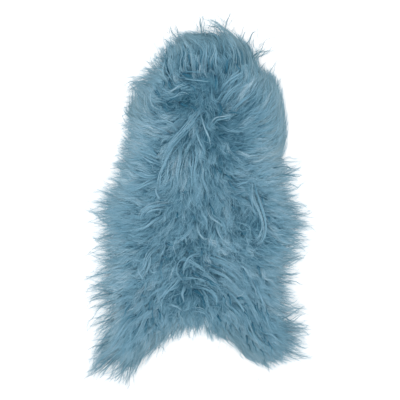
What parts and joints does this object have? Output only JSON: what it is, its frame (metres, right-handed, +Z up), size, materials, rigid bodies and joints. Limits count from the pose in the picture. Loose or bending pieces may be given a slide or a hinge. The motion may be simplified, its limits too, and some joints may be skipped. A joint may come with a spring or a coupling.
{
  "type": "shag rug, a long-haired sheepskin",
  "caption": "Long-haired sheepskin shag rug, a lumpy slab of dyed wool with locks standing out round its rim, lying flat on the floor.",
  "frame": {"origin": "centre of the bounding box at the floor, under the middle of the back", "axes": "+Z up out of the wool, +Y along the back towards the neck, +X to the right seen from above with the neck at the top"},
  "size_m": [0.6642, 1.0854, 0.0637],
  "materials": {
    "wool": "dyed ice-blue long wool, soft sheen",
    "skin": "tanned suede, matt"
  },
  "bodies": {
    "root": {"pelt": "wool"}
  },
  "joints": []
}
